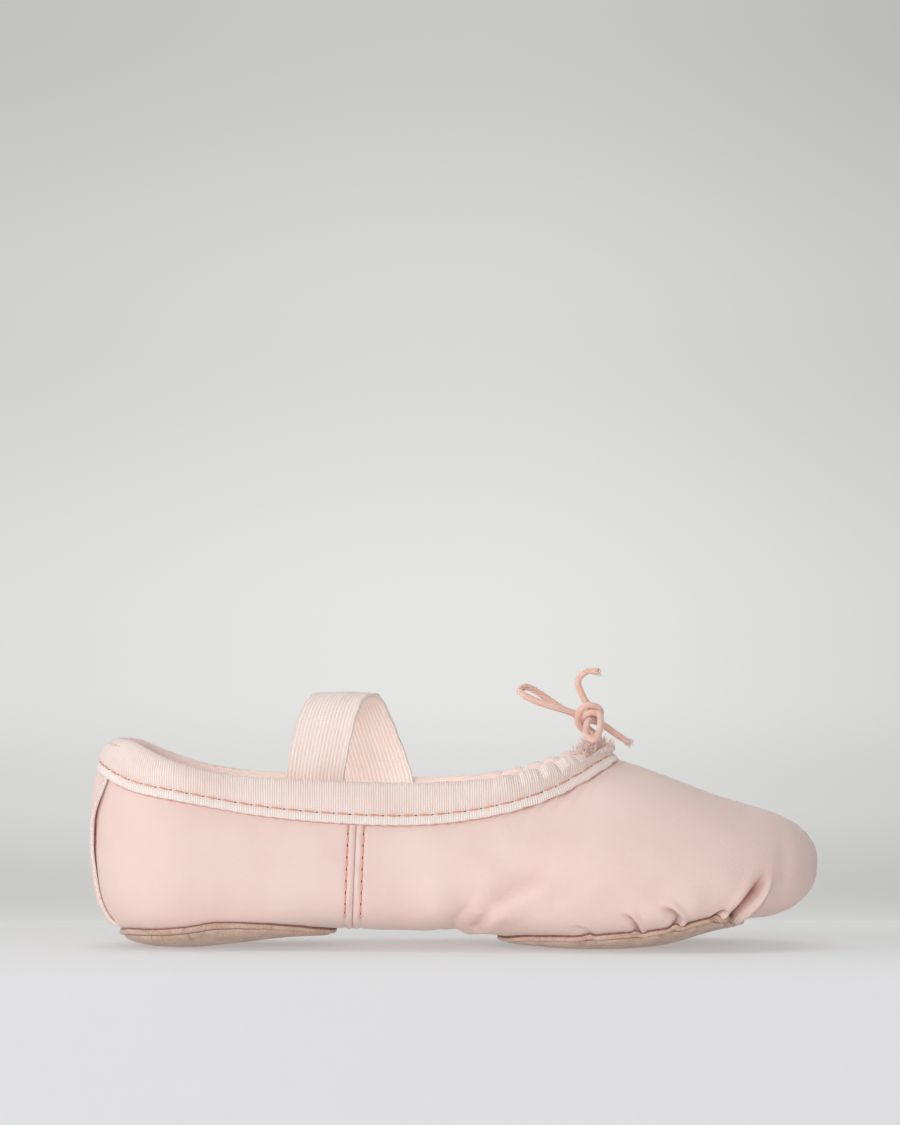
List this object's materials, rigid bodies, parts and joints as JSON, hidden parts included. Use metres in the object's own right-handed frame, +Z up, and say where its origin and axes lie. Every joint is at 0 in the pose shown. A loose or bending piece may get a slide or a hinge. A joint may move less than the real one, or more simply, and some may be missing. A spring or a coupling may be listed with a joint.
{
  "type": "ballet slipper",
  "caption": "Child's soft split-sole ballet slipper: gathered leather vamp, ribbed casing with a drawstring bow, elastic instep strap and suede patches under heel and ball.",
  "frame": {"origin": "on the floor, under the middle of the slipper's length and width", "axes": "+X points to the toe, +Y to the slipper's left side and +Z up"},
  "size_m": [0.175, 0.06, 0.0667],
  "materials": {
    "pink_leather": "soft pale pink leather, matt with a light sheen",
    "backstay_leather": "the same leather with a pale cut edge",
    "cotton_lining": "plain woven cotton",
    "sock": "thin padded cotton",
    "suede": "brown suede with a short nap",
    "casing_tape": "ribbed woven tape",
    "elastic": "ribbed woven elastic",
    "cord": "round covered elastic cord",
    "thread": "orange-tan sewing thread"
  },
  "bodies": {
    "forefoot": {"vamp": "pink_leather", "vamp_lining": "cotton_lining", "forefoot_sole": "suede", "forefoot_sock": "sock", "binding": "casing_tape", "drawstring": "cord", "topline_thread": "thread"},
    "heel": {"quarter_left": "pink_leather", "quarter_right": "pink_leather", "backstay": "backstay_leather", "quarter_lining": "cotton_lining", "heel_sole": "suede", "heel_sock": "sock", "side_thread_left": "thread", "side_thread_right": "thread", "strap_end_left": "elastic", "strap_end_right": "elastic"},
    "strap": {"strap": "elastic"},
    "bow": {"bow_knot": "cord", "bow_stem_left": "cord", "bow_stem_right": "cord", "bow_rear_loop": "cord", "bow_front_loop": "cord", "bow_end_up": "cord", "bow_end_forward": "cord"}
  },
  "joints": [
    {"name": "heel_rise", "type": "hinge", "parent": "forefoot", "child": "heel", "pos_m": [0.02, 0, 0.0005], "axis": [0, 1, 0], "range_deg": [0, 22], "stiffness_Nm_per_rad": 0.02, "deforming": ["vamp", "vamp_lining", "binding", "drawstring", "topline_thread", "forefoot_sock", "forefoot_sole"]},
    {"name": "strap_fold", "type": "hinge", "parent": "heel", "child": "strap", "pos_m": [-0.0256, 0, 0.041], "axis": [0.4376, 0.8992, 0], "range_deg": [-45, 10], "stiffness_Nm_per_rad": 0.004},
    {"name": "bow_tilt", "type": "hinge", "parent": "forefoot", "child": "bow", "pos_m": [0.0329, 0, 0.0482], "axis": [0, 1, 0], "range_deg": [-30, 10], "stiffness_Nm_per_rad": 0.001}
  ]
}
